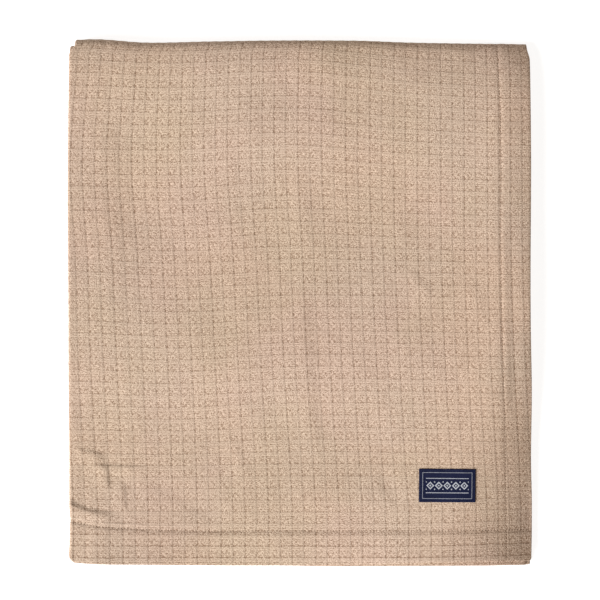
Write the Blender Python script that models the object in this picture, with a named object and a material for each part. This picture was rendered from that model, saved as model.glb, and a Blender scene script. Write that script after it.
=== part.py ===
"""Folded jacquard bedspread with a woven label. Blender 4.5, metres, +Z up.

The bedspread is one hemmed cloth, 1.6 m wide and 2.4 m long. It is folded in three across its width, as a
letter is, and the strip that this makes is folded in four along its length. So the solid is one section, the
three plies of the strip, swept along one path, the four runs of the strip. Both are lines with round turns.

The folded cloth lies flat. +X is to the right, +Y is towards the thick fold, and the top ply's two hems are
its right and front edges. The origin is the middle of the rectangle that the stack covers, where it rests.
"""

import math
from collections import namedtuple

import bmesh
import bpy
from mathutils import Vector
from mathutils.bvhtree import BVHTree

# The folded outline, at its widest and longest.
FOLDED_WIDTH = 0.536
FOLDED_LENGTH = 0.610

# The cloth and how closely it packs. A strip is three plies.
CLOTH = 0.0018
PLY_GAP = 0.0008
PLIES = 3
RUNS = 4
PLY_STEP = CLOTH + PLY_GAP
STRIP = PLIES * CLOTH + (PLIES - 1) * PLY_GAP
STRIP_STEP = STRIP + PLY_GAP
STACK = RUNS * STRIP + (RUNS - 1) * PLY_GAP

# The section of a strip, from its left fold to its right edge.
TURNED_IN_HEM = 0.012  # from the left fold to the hem that lies inside it
RIGHT_FOLD_INSET = 0.004  # from the top ply's hem back to the fold under it
PLY_PLACES = (-0.240, -0.180, -0.105, -0.030, 0.045, 0.115, 0.185, 0.237)  # X, the same in each ply
LEFT_TURN_SIDES = 6
LEFT_TURN_BULGE = 0.6  # of a half circle's: the left fold is pressed
RIGHT_TURN_SIDES = 4

# The path of the strip.
FRONT_SETBACK = 0.003  # the lower runs end this far behind the top hem
THICK_TURN_SIDES = 12
THICK_TURN_POWER = 4.4  # the thick fold is squarer than round, which is 2
THIN_TURN_SIDES = 6
RUN_PLACES = (-0.270, -0.232, -0.190, -0.115, -0.025, 0.070, 0.170, 0.250)  # Y, the same in each run

THICK_TURN_Y = FOLDED_LENGTH / 2 - STACK / 2  # the centre that the thick fold turns round
Place = namedtuple("Place", "y z outward")

# Near the thick fold the outer runs draw in: by how much, and how far they take to.
DRAW_STARTS_BEFORE = 0.004
LEFT_DRAW, LEFT_DRAW_OVER = 0.0066, 0.013
RIGHT_DRAW, RIGHT_DRAW_OVER = 0.0032, 0.015

# No edge is quite straight. These are the distances in from the outline, by place along each edge.
EndRow = namedtuple("EndRow", "x back front lower_front")
END_EDGES = (
    EndRow(-0.256, 0.0000, 0.0040, 0.0040),
    EndRow(-0.240, 0.0000, 0.0030, 0.0036),
    EndRow(-0.180, 0.0034, 0.0020, 0.0020),
    EndRow(-0.105, 0.0022, 0.0010, -0.0004),
    EndRow(-0.030, 0.0010, 0.0007, -0.0026),
    EndRow(0.035, 0.0010, 0.0009, -0.0030),
    EndRow(0.075, 0.0015, 0.0020, -0.0030),
    EndRow(0.115, 0.0030, 0.0030, -0.0030),
    EndRow(0.185, 0.0040, 0.0050, -0.0030),
    EndRow(0.237, 0.0048, 0.0050, -0.0030),
    EndRow(0.262, 0.0066, 0.0048, -0.0030),
)
SideRow = namedtuple("SideRow", "y left right")
SIDE_EDGES = (
    SideRow(-0.302, 0.0020, 0.0006),
    SideRow(-0.270, 0.0030, 0.0000),
    SideRow(-0.232, 0.0018, 0.0000),
    SideRow(-0.190, 0.0018, 0.0008),
    SideRow(-0.115, 0.0011, 0.0000),
    SideRow(-0.025, 0.0008, 0.0012),
    SideRow(0.170, 0.0000, 0.0006),
    SideRow(0.250, 0.0010, 0.0012),
)

# The top surface droops towards its edges, ever more steeply. These are how far it has sunk at the edge and how
# far in from it that starts, by place along the edge.
DroopRow = namedtuple("DroopRow", "along sink reach")
RIGHT_DROOP = (
    DroopRow(-0.300, 0.0205, 0.115),
    DroopRow(-0.250, 0.0195, 0.108),
    DroopRow(-0.210, 0.0175, 0.088),
    DroopRow(-0.137, 0.0124, 0.062),
    DroopRow(-0.090, 0.0080, 0.052),
    DroopRow(-0.040, 0.0050, 0.046),
    DroopRow(0.100, 0.0060, 0.047),
    DroopRow(0.200, 0.0056, 0.050),
    DroopRow(0.300, 0.0062, 0.050),
)
BACK_DROOP = (
    DroopRow(-0.260, 0.0062, 0.043),
    DroopRow(0.050, 0.0070, 0.046),
    DroopRow(0.150, 0.0105, 0.066),
    DroopRow(0.260, 0.0150, 0.074),
)
FRONT_DROOP = (
    DroopRow(-0.260, -0.0010, 0.045),
    DroopRow(-0.236, -0.0028, 0.110),
    DroopRow(-0.178, -0.0034, 0.110),
    DroopRow(-0.140, -0.0004, 0.070),
    DroopRow(-0.100, 0.0010, 0.055),
    DroopRow(0.080, 0.0028, 0.055),
    DroopRow(0.150, -0.0018, 0.055),
    DroopRow(0.200, -0.0036, 0.060),
    DroopRow(0.260, -0.0042, 0.060),
)

# Its broad swells, each with its own reach to either side, to the front and to the back.
SwellRow = namedtuple("SwellRow", "x y side front back rise")
SWELLS = (
    SwellRow(-0.060, -0.062, 0.280, 0.060, 0.155, 0.0063),  # across the middle
    SwellRow(0.050, 0.195, 0.210, 0.042, 0.042, 0.0033),  # behind it, short of the thick fold
    SwellRow(0.070, -0.222, 0.110, 0.030, 0.030, 0.0019),  # in front, left of the label
    SwellRow(-0.180, 0.105, 0.055, 0.110, 0.110, -0.0024),  # a long hollow beside the left folds
    SwellRow(-0.240, -0.238, 0.030, 0.009, 0.004, 0.0016),  # the main crease at the front left
)

# The woven label, sewn on near the corner of the two hems.
LABEL_SIZE = (0.0655, 0.0385)
LABEL_THICKNESS = 0.0007
LABEL_AT = (0.1702, -0.2115)
LABEL_TURN_DEG = -0.5
LABEL_GAP = 0.0004
LABEL_SPANS = (10, 6)


def eased(share):
    """0 to 1 with a level start and end, from a share that may lie outside them."""
    share = min(1.0, max(0.0, share))
    return share * share * (3 - 2 * share)


def along(rows, place, column):
    """A column of a table at a place between its rows, which go up in their first column."""
    if place <= rows[0][0]:
        return getattr(rows[0], column)
    for low, high in zip(rows, rows[1:]):
        if place <= high[0]:
            share = eased((place - low[0]) / (high[0] - low[0]))
            return getattr(low, column) * (1 - share) + getattr(high, column) * share
    return getattr(rows[-1], column)


def swell(row, x, y):
    """The height that one broad swell adds at a place."""
    length = row.front if y < row.y else row.back
    return row.rise * math.exp(-(((x - row.x) / row.side) ** 2) - ((y - row.y) / length) ** 2)


def droop(inside, rows, place):
    """How far the surface has sunk at a distance inside an edge, at a place along it."""
    reach = along(rows, place, "reach")
    return along(rows, place, "sink") * min(1.0, max(0.0, 1 - inside / reach)) ** 2


def top_height(x, y):
    """The height of the stack's upper surface."""
    half_width, half_length = FOLDED_WIDTH / 2, FOLDED_LENGTH / 2
    sink = (
        droop(half_length - y, BACK_DROOP, x)
        + droop(half_width - x, RIGHT_DROOP, y)
        + droop(half_length + y, FRONT_DROOP, x)
    )
    return STACK - sink + sum(swell(row, x, y) for row in SWELLS)


def settled(point, on_top):
    """Where a point of the straight, level stack lies in the real one: its ends stray and its layers sink."""
    half_length = FOLDED_LENGTH / 2
    back = along(END_EDGES, point.x, "back") * eased(point.y / half_length)
    front = along(END_EDGES, point.x, "front" if on_top else "lower_front") * eased(-point.y / half_length)
    y = point.y - back + front
    return Vector((point.x, y, point.z * top_height(point.x, y) / STACK))


def ply_line(left, fold, hem):
    """The middle of the cloth across a strip, as (x, height, slope angle) from the top ply's hem to the hem
    that is turned in: to the left, round the left turn, back to the right fold and in again between them."""
    upper, lower, middle = PLY_STEP, -PLY_STEP, 0.0
    bulge = LEFT_TURN_BULGE * PLY_STEP
    turn_x = left + bulge + CLOTH / 2
    fold_x = fold - PLY_STEP / 2 - CLOTH / 2
    line = [(x, upper, math.pi) for x in (hem, *reversed(PLY_PLACES), turn_x)]
    for k in range(1, LEFT_TURN_SIDES):
        angle = math.pi * k / LEFT_TURN_SIDES
        slope = math.pi + math.atan2(math.sin(angle), LEFT_TURN_BULGE * math.cos(angle))
        line.append((turn_x - bulge * math.sin(angle), PLY_STEP * math.cos(angle), slope))
    line += [(x, lower, 2 * math.pi) for x in (turn_x, *PLY_PLACES, fold_x)]
    for k in range(1, RIGHT_TURN_SIDES):
        angle = math.pi * k / RIGHT_TURN_SIDES
        radius = PLY_STEP / 2
        line.append((fold_x + radius * math.sin(angle), lower / 2 - radius * math.cos(angle), angle))
    line += [(x, middle, math.pi) for x in (fold_x, *reversed(PLY_PLACES), turn_x + TURNED_IN_HEM)]
    return line


def cloth_outline(line):
    """The closed outline, (x, height), of a sheet of the cloth's thickness on that line, with blunt ends."""
    half = CLOTH / 2
    right = [(x + half * math.sin(a), h - half * math.cos(a)) for x, h, a in line]
    left = [(x - half * math.sin(a), h + half * math.cos(a)) for x, h, a in line]
    return right + left[::-1]


def run_height(run):
    """The middle of a run of the strip, counted from the bottom."""
    return STRIP / 2 + run * STRIP_STEP


def straight(run, outward, places):
    """Places along a run."""
    return [Place(y, run_height(run), Vector((0, 0, outward))) for y in places]


def turn(low_run, high_run, centre_y, bulge, outward, sides, power=2.0):
    """Places round the half turn that joins two runs, from the lower to the higher. It bulges towards +Y
    where bulge is 1 and towards -Y where it is -1, and is squarer than round where the power is more than 2.
    Outward is 1 where the strip's upper ply is outside."""
    low, high = run_height(low_run), run_height(high_run)
    radius = (high - low) / 2
    places = []
    for k in range(sides + 1):
        angle = math.pi * k / sides
        away_y, away_z = math.sin(angle), -math.cos(angle)
        reach = radius * (abs(away_y) ** power + abs(away_z) ** power) ** (-1 / power)
        facing = Vector((0, bulge * abs(away_y) ** (power - 1), math.copysign(abs(away_z) ** (power - 1), away_z)))
        at = (centre_y + reach * bulge * away_y, low + radius + reach * away_z)
        places.append(Place(*at, facing.normalized() * outward))
    return places


def strip_path():
    """The strip's path, from the top hem to the hem under it, in the two parts that the outer runs and the
    inner runs make."""
    front = -FOLDED_LENGTH / 2
    thick_y = THICK_TURN_Y
    thin_y = front + FRONT_SETBACK + (STRIP + STRIP_STEP) / 2
    outer = straight(3, 1, (front, *RUN_PLACES))
    outer += reversed(turn(0, 3, thick_y, 1, 1, THICK_TURN_SIDES, THICK_TURN_POWER))
    outer += straight(0, -1, reversed(RUN_PLACES))
    inner = turn(0, 1, thin_y, -1, 1, THIN_TURN_SIDES)
    inner += straight(1, 1, RUN_PLACES)
    inner += turn(1, 2, thick_y, 1, -1, THIN_TURN_SIDES)
    inner += straight(2, -1, (*reversed(RUN_PLACES), front + FRONT_SETBACK))
    return outer, inner


def strip_edges(y, drawn_in):
    """The strip's left fold, right fold and hem at a place on its path."""
    left = -FOLDED_WIDTH / 2 + along(SIDE_EDGES, y, "left")
    hem = FOLDED_WIDTH / 2 - along(SIDE_EDGES, y, "right")
    if drawn_in:
        beyond = y - (THICK_TURN_Y - DRAW_STARTS_BEFORE)
        left += LEFT_DRAW * eased(beyond / LEFT_DRAW_OVER)
        hem -= RIGHT_DRAW * eased(beyond / RIGHT_DRAW_OVER)
    return left, hem - RIGHT_FOLD_INSET, hem


def new_material(name, colour, roughness):
    material = bpy.data.materials.new(name)
    material.use_nodes = True
    shader = material.node_tree.nodes["Principled BSDF"]
    shader.inputs["Base Color"].default_value = (*colour, 1.0)
    shader.inputs["Roughness"].default_value = roughness
    shader.inputs["Metallic"].default_value = 0.0
    return material


def new_object(name, mesh_data, material):
    mesh = bpy.data.meshes.new(name)
    bmesh.ops.recalc_face_normals(mesh_data, faces=mesh_data.faces)
    mesh_data.to_mesh(mesh)
    mesh_data.free()
    mesh.materials.append(material)
    mesh.shade_smooth()
    obj = bpy.data.objects.new(name, mesh)
    bpy.context.scene.collection.objects.link(obj)
    return obj


def make_bedspread():
    """The folded cloth: the settled outline of its plies at each place on the path, joined in turn."""
    made = bmesh.new()
    rings = []
    outer, inner = strip_path()
    for place in outer + inner:
        outline = cloth_outline(ply_line(*strip_edges(place.y, place in outer)))
        at = Vector((0, place.y, place.z))
        on_top = place.z > run_height(2.5)
        points = [at + Vector((x, 0, 0)) + place.outward * h for x, h in outline]
        rings.append([made.verts.new(settled(point, on_top)) for point in points])
    for ring, after in zip(rings, rings[1:]):
        for k in range(len(ring)):
            made.faces.new((ring[k - 1], ring[k], after[k], after[k - 1]))
    ends = [made.faces.new(rings[0]), made.faces.new(rings[-1])]
    bmesh.ops.triangulate(made, faces=ends)
    return new_object("bedspread", made, new_material("cotton", (0.60, 0.46, 0.34), 0.9))


def make_label(bedspread):
    """A thin patch that follows the top ply under it."""
    bpy.context.view_layer.update()
    cloth = BVHTree.FromObject(bedspread, bpy.context.evaluated_depsgraph_get())
    made = bmesh.new()
    bmesh.ops.create_grid(made, x_segments=LABEL_SPANS[0], y_segments=LABEL_SPANS[1], size=0.5)
    turn = math.radians(LABEL_TURN_DEG)
    for vertex in made.verts:
        x, y = vertex.co.x * LABEL_SIZE[0], vertex.co.y * LABEL_SIZE[1]
        vertex.co.x = LABEL_AT[0] + x * math.cos(turn) - y * math.sin(turn)
        vertex.co.y = LABEL_AT[1] + x * math.sin(turn) + y * math.cos(turn)
        above = Vector((vertex.co.x, vertex.co.y, 2 * STACK))
        vertex.co.z = cloth.ray_cast(above, Vector((0, 0, -1)))[0].z + LABEL_GAP
    upper = bmesh.ops.extrude_face_region(made, geom=list(made.faces))["geom"]
    for vertex in upper:
        if isinstance(vertex, bmesh.types.BMVert):
            vertex.co.z += LABEL_THICKNESS
    return new_object("woven_label", made, new_material("label_weave", (0.02, 0.03, 0.09), 0.7))


def main():
    for obj in list(bpy.data.objects):
        bpy.data.objects.remove(obj, do_unlink=True)
    make_label(make_bedspread())


main()
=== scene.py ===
"""Looks of the folded jacquard bedspread: its cloth with the check, hems and stitches, and its label.

The cloth is one closed mesh: a grid of stations across the folded strip and of places along the strip's
path. The weave is a material that reads the cloth's own coordinates, so it follows the cloth round every
fold. Metres, but millimetres in the tables. +Z is up and +Y points to the thick fold.
"""

import math
from collections import namedtuple
from functools import partialmethod

import bmesh
import bpy
import numpy as np
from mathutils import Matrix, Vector, noise

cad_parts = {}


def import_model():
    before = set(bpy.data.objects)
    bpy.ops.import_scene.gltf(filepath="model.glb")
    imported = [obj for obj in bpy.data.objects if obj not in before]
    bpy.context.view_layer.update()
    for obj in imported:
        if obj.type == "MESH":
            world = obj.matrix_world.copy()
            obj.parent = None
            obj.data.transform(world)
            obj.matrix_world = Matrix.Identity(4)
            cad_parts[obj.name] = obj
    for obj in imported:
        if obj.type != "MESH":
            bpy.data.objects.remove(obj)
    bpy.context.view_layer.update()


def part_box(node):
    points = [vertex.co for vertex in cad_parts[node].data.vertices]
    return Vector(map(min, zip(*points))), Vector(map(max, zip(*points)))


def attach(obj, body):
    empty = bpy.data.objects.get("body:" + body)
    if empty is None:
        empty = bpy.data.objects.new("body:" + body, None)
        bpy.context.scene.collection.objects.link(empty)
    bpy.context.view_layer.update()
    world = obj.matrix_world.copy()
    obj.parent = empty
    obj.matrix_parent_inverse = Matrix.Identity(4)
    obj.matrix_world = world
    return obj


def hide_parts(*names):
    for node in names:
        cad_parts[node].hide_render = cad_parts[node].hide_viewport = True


def table(columns, *rows, unit=0.001):
    """Rows of numbers in millimetres, or in another unit, with a name for each column."""
    Row = namedtuple("Row", columns)
    return [Row(*(value * unit for value in row)) for row in rows]


# The cloth and how closely it packs. A strip is three plies, and the stack is four runs of the strip.
CLOTH = 0.0018
PLY_GAP = 0.0008
PLIES = 3
RUNS = 4
TOP_RUN = RUNS - 1
PLY_STEP = CLOTH + PLY_GAP
STRIP = PLIES * CLOTH + (PLIES - 1) * PLY_GAP
STRIP_STEP = STRIP + PLY_GAP
STACK = RUNS * STRIP + (RUNS - 1) * PLY_GAP
TURNED_IN_HEM = 0.012
RIGHT_FOLD_INSET = 0.004
FRONT_SETBACK = 0.003

# How finely the mesh follows it.
TOP_STEP = 0.0031  # on the top ply
FINE_STEP = 0.0016  # on its part with the finest creases
FINE_LEFT = 0.078  # how far that part goes from the left edge
FINE_FRONT = (0.060, 0.145)  # and where it starts and ends from the front
SEAM_STEP = 0.0011  # beside the hems' seams
COARSE_PLACES = 20  # along each hidden run
COARSE_STATIONS = 11  # across each hidden ply
LEFT_TURN_SIDES, RIGHT_TURN_SIDES = 10, 8
LEFT_TURN_BULGE = 0.6  # of a half circle's: the left fold is pressed
THICK_TURN_POWER = 4.4  # the thick fold is squarer than round
THICK_TURN_SIDES, THIN_TURN_SIDES = 22, 8
ROUND_END_STEPS = 3

# Near the thick fold the outer runs draw in.
DRAW_STARTS_BEFORE = 0.004  # before the turn's centre
LEFT_DRAW, LEFT_DRAW_OVER = 0.0066, 0.013
RIGHT_DRAW, RIGHT_DRAW_OVER = 0.0032, 0.015

# No edge is quite straight. These are the distances in from the outline, by place along each edge.
END_EDGES = table(
    "x back front lower_front",
    (-256, 0, 4, 4), (-240, -0.4, 3, 3.6), (-180, 3.4, 2, 2), (-105, 2.2, 1, -0.4),
    (-30, 1, 0.7, -3), (35, 1, 0.9, -4.3), (75, 1.5, 2, -4), (115, 3, 3.2, -3.6),
    (185, 4, 5, -3.2), (237, 4.5, 5.2, -3.6), (262, 4.8, 4.4, -3.6),
)
SIDE_EDGES = table(
    "y left right",
    (-302, 2, -1.4), (-270, 3, -2), (-232, 1.8, -2), (-190, 1.8, -0.8),
    (-115, 1.1, -1), (-25, 0.8, 1), (170, 0, 0.4), (250, 1, 1),
)
LEFT_CORNER_ROUND, RIGHT_CORNER_ROUND = 0.009, 0.004
LAYER_STRAY = 0.0011  # how far a hidden run's edges wander in from the top run's
STRAY_ENDS = (0.22, 0.26)  # they come out again towards the thick fold
STRAY_LENGTH = 0.16  # how slowly they wander
STRAY_SEEDS = (1.3, 5.1, 9.4)  # for the left fold, the hem and the right fold
INNER_TURN_OUT = 0.0008  # the runs inside the thick fold lie close against it

# The top surface droops towards its edges, ever more steeply: how far it has sunk at the edge and how far
# in from it that starts, by place along the edge. Part of the front edge rises a little.
RIGHT_DROOP = table(
    "along sink reach",
    (-300, 20.5, 115), (-250, 19.5, 108), (-210, 17.5, 88), (-137, 12.4, 62), (-90, 8, 52),
    (-40, 4.3, 46), (100, 4.6, 46), (200, 5, 50), (300, 6.2, 50),
)
BACK_DROOP = table(
    "along sink reach",
    (-260, 6.2, 43), (50, 7, 46), (150, 10.5, 66), (260, 15, 74),
)
FRONT_DROOP = table(
    "along sink reach",
    (-260, -1, 45), (-236, -3.4, 110), (-205, -2.6, 110), (-178, -1.7, 100),
    (-140, 0.2, 70), (-100, 1, 55), (80, 2.8, 55), (115, 0.8, 55),
    (150, -1.8, 55), (200, -3.6, 60), (260, -4.2, 60),
)
LEFT_DROOP = table("along sink reach", (-300, -0.4, 20), (300, -0.4, 20))

# The broad swells of the top ply, each with its own reach to either side, to the front and to the back.
SWELLS = table(
    "x y side front back rise",
    (-60, -62, 280, 60, 155, 6.3),  # across the middle
    (50, 195, 210, 42, 42, 3.3),  # behind it, short of the thick fold
    (70, -222, 110, 30, 30, 1.9),  # in front, left of the label
)

# The creases: soft troughs and ridges, each along a curve through three points that runs to the right or
# to the front. Each has its own width on its near side, to the front left, and its far side.
CREASES = table(
    "x0 y0 x1 y1 x2 y2 near far rise",
    (-198, 256, -184, 130, -161, -49, 40, 75, -2.6), (-260, -170, -243, -173, -226, -177, 10, 2, 1.1),
    (-240, -176, -232, -181, -223, -187, 10, 4.5, 0.6), (-243, -186, -215, -190, -166, -190, 10, 2, 1),
    (-224, -187, -223, -201, -219, -222, 12, 2.4, 1), (-204, -205, -203, -225, -201, -248, 12, 2.2, 0.9),
    (-272, -226, -250, -240, -205, -247, 12, 3, 1.9), (-188, -194, -136, -228, -84, -257, 7, 15, -0.5),
    (-84, -141, -72, -176, -52, -211, 14, 4.5, 0.6), (3, 31, 8, -84, 23, -200, 24, 7, 0.8),
    (2, 180, -1, 110, 8, 30, 9, 12, 0.5), (121, 43, 140, 20, 156, -3, 12, 4.5, 0.5),
    (197, 31, 205, 0, 214, -32, 12, 4.5, 0.5), (100, -190, 104, -215, 118, -240, 9, 18, -1),
    (241, 141, 245, -20, 247, -182, 5, 9, -0.8),
)
CREASE_SAMPLES = 24
CREASE_FADES_OVER = 0.3  # the share of its length over which a crease fades at each end
RUMPLES = ((0.055, 0.00070), (0.021, 0.00022))  # the small unevenness left over: its length, its height
RUMPLE_SEED = 3.7

# The hems: the seam's line on the top ply, by the edge that it runs along.
SIDE_SEAM = table(
    "along at",
    (-305, 239.5), (-182, 237.4), (-90, 234.6), (60, 231.6), (164, 231.9), (223, 231), (305, 227.4),
)
END_SEAM = table(
    "along at",
    (-268, -252.5), (-236, -258.5), (-180, -262.5), (0, -264), (268, -264),
)
HEM_THICKER, HEM_RISES_OVER = 0.0006, 0.003
SIDE_HEM_SHOWS, SIDE_HEM_SHARES = (-0.15, -0.04), (0.15, 0.4)  # the side hem stands out more at the back
SIDE_HEM_LINES = (-0.22, -0.16, 0.02, 0.10)  # where the painted shade in its sunk lines is deeper, along its length
SEAM_DIP, SEAM_DIP_HALF_WIDTH = 0.0003, 0.0011
SEAM_PULL = 0.018  # how far from the end seam the mesh follows its wandering
HEM_EDGE = (-0.0062, -0.0053, -0.0047, -0.0038)  # how the hem's turned-in edge rises and falls, and where it carries a painted highlight
HEM_EDGE_SHOWS = (-0.06, -0.22)  # it shows towards the left
END_SEAM_SHOWS, END_SEAM_SHARES = (0.12, 0.0), (0.3, 1.0)  # and so does the seam
STITCH_PITCH, STITCH_LENGTH, STITCH_RADIUS = 0.0036, 0.0024, 0.00032
SEAM_ENDS_AT_RUN = 1.0  # its threads stop on the way round the thick fold
RELIEF_FROM_RUN = 0.3  # and the relief fades out just before the bottom run

# The woven check: its cell, where a line falls, and how far the cloth swells between the lines.
CELL = (0.0135, 0.01385)
CELL_START = (0.0066, 0.0092)
CELL_RELIEF = 0.00026

# The bands of a cell that rise and fall between these shares of its width or length.
SIDE_BAND = (0.66, 0.80, 0.84, 0.92)
CROSS_BAND, CROSS_BAND_EDGE = (0.60, 0.68, 0.88, 0.98), (0.60, 0.68, 0.70, 0.84)

# The darker and lighter spots of the pattern, which repeats every two cells across and every cell along:
# each one's middle, its reaches and how much it lightens the cloth, in hundredths of a cell.
SPOT_PERIOD = (2, 1)
SPOTS = table(
    "column level reach_across reach_along tone",
    (-3, 5, 13, 26, -36), (0, 53, 11, 24, -22), (9, 31, 12, 13, 10), (27, 11, 12, 10, 5),
    (27, 35, 17, 15, -28), (28, 54, 12, 12, 8), (42, 8, 15, 20, -30), (42, 57, 14, 13, -28),
    (48, 31, 16, 15, 28), (67, 1, 14, 11, -10), (90, 25, 12, 50, -6), (99, 32, 12, 26, -32),
    (100, 3, 12, 16, -14), (116, 6, 19, 16, -26), (119, 56, 18, 14, -18), (126, 32, 17, 13, 20),
    (133, 59, 11, 9, -14), (132, 20, 14, 12, -12), (147, 35, 16, 14, -28), (148, 53, 12, 11, 20),
    (149, 13, 12, 13, 14), (186, 7, 12, 12, -12),
    unit=0.01,
)

# How far the check's lines lie from square, by place. A positive shift moves a line to the left or down.
SKEW_X = (-0.245, -0.16, 0.0, 0.12, 0.22)
ACROSS_SKEW = table(
    "y left inner_left middle inner_right right",
    (-240, -3, -9, -12.5, -12, -8), (-180, -0.5, -7.5, -9.5, -7.5, -5),
    (-70, 4.5, -3.5, -2.5, -1, 1.5), (50, 8, 2.5, 2.5, 4, 5),
    (160, 14, 9.5, 8, 5.5, 5.5), (280, 6, 6, 7.5, 5, 6),
)
LENGTHWISE_SKEW = table(
    "y left inner_left middle inner_right right",
    (-295, -1.2, -1, -0.8, -1, -2.5), (-240, 0.5, 1, 1.5, 1.5, -0.5),
    (-180, 3, 4, 1, 2, 3), (-70, 3, 6, -0.5, 0.5, 2.5),
    (50, 0.5, 5, 0, 2.5, 4.5), (160, -1.5, 0, -5.5, 3, 7),
    (280, -8, -4.5, -8.5, 2.5, 9.5),
)

# The woven label.
LABEL_SIZE, LABEL_AT, LABEL_TURN_DEG = (0.0655, 0.0385), (0.1702, -0.2115), -0.5
LABEL_THICKNESS, LABEL_GAP, LABEL_ROUND = 0.0006, 0.0002, 0.0006
LABEL_STEP = 0.0014
LABEL_TURNED_UNDER, LABEL_TURNED_UNDER_OVER, LABEL_TURNED_UNDER_RISE = 0.0052, 0.0012, 0.00015
LABEL_SEAM_IN, LABEL_SEAM_HALF_WIDTH, LABEL_SEAM_DIP, LABEL_SEAM_POINTS = 0.0019, 0.0006, 0.00012, 40
LABEL_PITCH, LABEL_STITCH, LABEL_THREAD = 0.0025, 0.0017, 0.00017
LABEL_BORDER = (0.0039, 0.0041, 0.0045, 0.0047)  # from the edge inwards
LABEL_RULES = (0.0078, 0.0080, 0.0086, 0.0088)  # from the middle outwards
LOZENGE_PITCH, LOZENGE_RING = 0.0098, (0.0027, 0.0029, 0.0045, 0.0047)
DOTS_OFF_MIDDLE = 0.0042
SATIN_RIB, SATIN_WARP, SATIN_DEPTH = 0.00042, 0.0006, 0.00012

# The colours, each as red, green and blue light that it gives back.
LIGHT_YARN, DARK_YARN = (0.643, 0.484, 0.366), (0.252, 0.155, 0.100)
THREAD_LIGHT = (0.430, 0.315, 0.230)
GREEN_TINT, ROSY_TINT = (0.989, 1.008, 1.0), (1.011, 0.992, 1.0)
BLUE_TINT, SALLOW_TINT = (1.0, 1.0, 1.020), (1.0, 1.0, 0.980)
LIGHT_NAVY, DARK_NAVY = (0.013, 0.017, 0.062), (0.002, 0.004, 0.017)
LIGHT_PALE, DARK_PALE = (0.560, 0.570, 0.600), (0.280, 0.290, 0.330)
CLOTH_TONE = 0.62
CREPE_KNOT = 0.0018
RIBS_A_CELL, THREADS_A_CELL = 5, 15
THREAD_TWIST = 0.0009
THREAD_SIDES = 6
WEAVE_DEPTH, THREAD_DEPTH, FLOOR_DEPTH = 0.00025, 0.00008, 0.0003
TINT_PATCH = 0.14

# The camera looks straight down. The key light is broad and soft, from the front left.
CAMERA_HEIGHT = 2.4
VIEW_WIDTH = 0.6924
VIEW_CENTRE = (0.0003, 0.0026)
ROOM_LIGHT, KEY_LIGHT = 0.24, 1.02  # how much of each falls on a level surface
ROOM_TINT, KEY_TINT = (1.15, 1.0, 0.85), (0.965, 1.0, 1.035)
KEY_ELEVATION_DEG, KEY_FROM_DEG, KEY_SOFTNESS_DEG = 30, -55, 40
FLOOR_SIZE, FLOOR_BELOW, FLOOR_GLOW = 8.0, 0.0002, 0.86
DARKER_FLOOR, LIGHTER_FLOOR = (0.38, 0.38, 0.38), (0.42, 0.42, 0.42)

Half = namedtuple("Half", "x y")  # half the stack's width and half its length


def eased(share):
    """0 to 1 with a level start and end, from a share that may lie outside them."""
    share = np.clip(share, 0.0, 1.0)
    return share * share * (3 - 2 * share)


def eased_between(place, stops, values):
    """Goes from one value to the other as the place goes from one stop to the other."""
    return values[0] + (values[1] - values[0]) * eased((place - stops[0]) / (stops[1] - stops[0]))


def smooth_between(at, values, place):
    """A smooth curve through values, read at places. Further axes of the values match the places'."""
    at, values = np.asarray(at), np.asarray(values)
    place = np.clip(place, at[0], at[-1])
    k = np.clip(np.searchsorted(at, place, side="right") - 1, 0, len(at) - 2)
    slopes = np.gradient(values, at, axis=0)

    def taken(array, index):
        return array[index] if array.ndim == 1 else np.take_along_axis(array, index[None], axis=0)[0]

    gap = at[k + 1] - at[k]
    s = (place - at[k]) / gap
    start = taken(values, k) * (1 + 2 * s) * (1 - s) ** 2 + taken(slopes, k) * gap * s * (1 - s) ** 2
    end = taken(values, k + 1) * s * s * (3 - 2 * s) + taken(slopes, k + 1) * gap * s * s * (s - 1)
    return start + end


def along(rows, place, column):
    """A column of a table at places between its rows, which go up in their first column."""
    return smooth_between([row[0] for row in rows], [getattr(row, column) for row in rows], place)


def noise_field(x, y, length, seed):
    """Smooth noise of about -1 to 1 over a surface, with features of this length."""
    points = zip(np.ravel(x) / length, np.ravel(y) / length)
    return np.array([noise.noise(Vector((a, b, seed))) for a, b in points]).reshape(np.shape(x))


# ---- The top surface ----


def swell_heights(x, y):
    """The height that the broad swells add."""
    total = np.zeros_like(x)
    for row in SWELLS:
        length = np.where(y < row.y, row.front, row.back)
        total += row.rise * np.exp(-(((x - row.x) / row.side) ** 2) - ((y - row.y) / length) ** 2)
    return total


def crease_heights(x, y):
    """The height that the creases add. Each fades out at its ends."""
    total = np.zeros_like(x)
    t = np.linspace(0, 1, CREASE_SAMPLES)
    for row in CREASES:
        start, middle, end = row.x0 + 1j * row.y0, row.x1 + 1j * row.y1, row.x2 + 1j * row.y2
        bend = 2 * middle - (start + end) / 2
        curve = (1 - t) ** 2 * start + 2 * t * (1 - t) * bend + t * t * end
        nearest = np.full(x.shape, np.inf)
        share, far_side = np.zeros_like(x), np.zeros_like(x)
        for k, (corner, step) in enumerate(zip(curve, np.diff(curve))):
            away = (x + 1j * y - corner) / step
            s = np.clip(away.real, 0, 1)
            gap = abs(away - s) * abs(step)
            closer = gap < nearest
            nearest = np.where(closer, gap, nearest)
            share = np.where(closer, (k + s) / (CREASE_SAMPLES - 1), share)
            far_side = np.where(closer, away.imag > 0, far_side)
        fade = eased(share / CREASE_FADES_OVER) * eased((1 - share) / CREASE_FADES_OVER)
        total += row.rise * fade * np.exp(-((nearest / np.where(far_side, row.far, row.near)) ** 2))
    return total


def droop(inside, rows, place):
    """How far the surface has sunk at a distance inside an edge, at a place along it."""
    return along(rows, place, "sink") * np.clip(1 - inside / along(rows, place, "reach"), 0, 1) ** 2


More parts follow.
